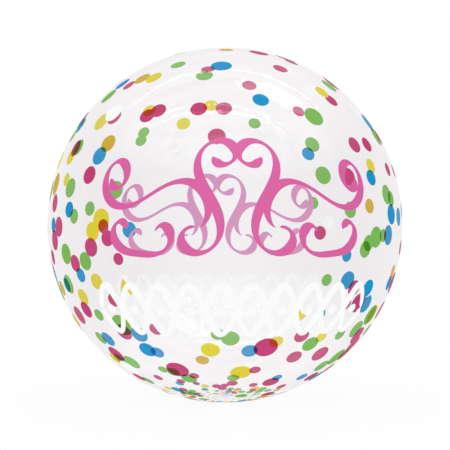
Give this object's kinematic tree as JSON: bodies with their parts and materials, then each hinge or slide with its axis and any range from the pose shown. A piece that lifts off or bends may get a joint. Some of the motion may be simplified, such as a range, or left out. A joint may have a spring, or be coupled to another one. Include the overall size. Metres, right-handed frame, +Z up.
{
  "type": "clear bubble balloon",
  "caption": "Round clear stretch-film balloon with confetti dots and two rows of flourishes printed front and back, a small flat foot and its welded neck tucked up inside.",
  "frame": {"origin": "middle of the flat foot, on the surface that the balloon rests on", "axes": "+Z up through the crown; the printed front faces -Y and the printed back faces +Y"},
  "size_m": [0.56, 0.56, 0.5567],
  "materials": {
    "clear_film": "clear glossy stretch film with a faint lilac haze, printed with magenta, pink, green, blue, yellow, gold and white inks"
  },
  "bodies": {
    "root": {"bubble_film": "clear_film"}
  },
  "joints": []
}
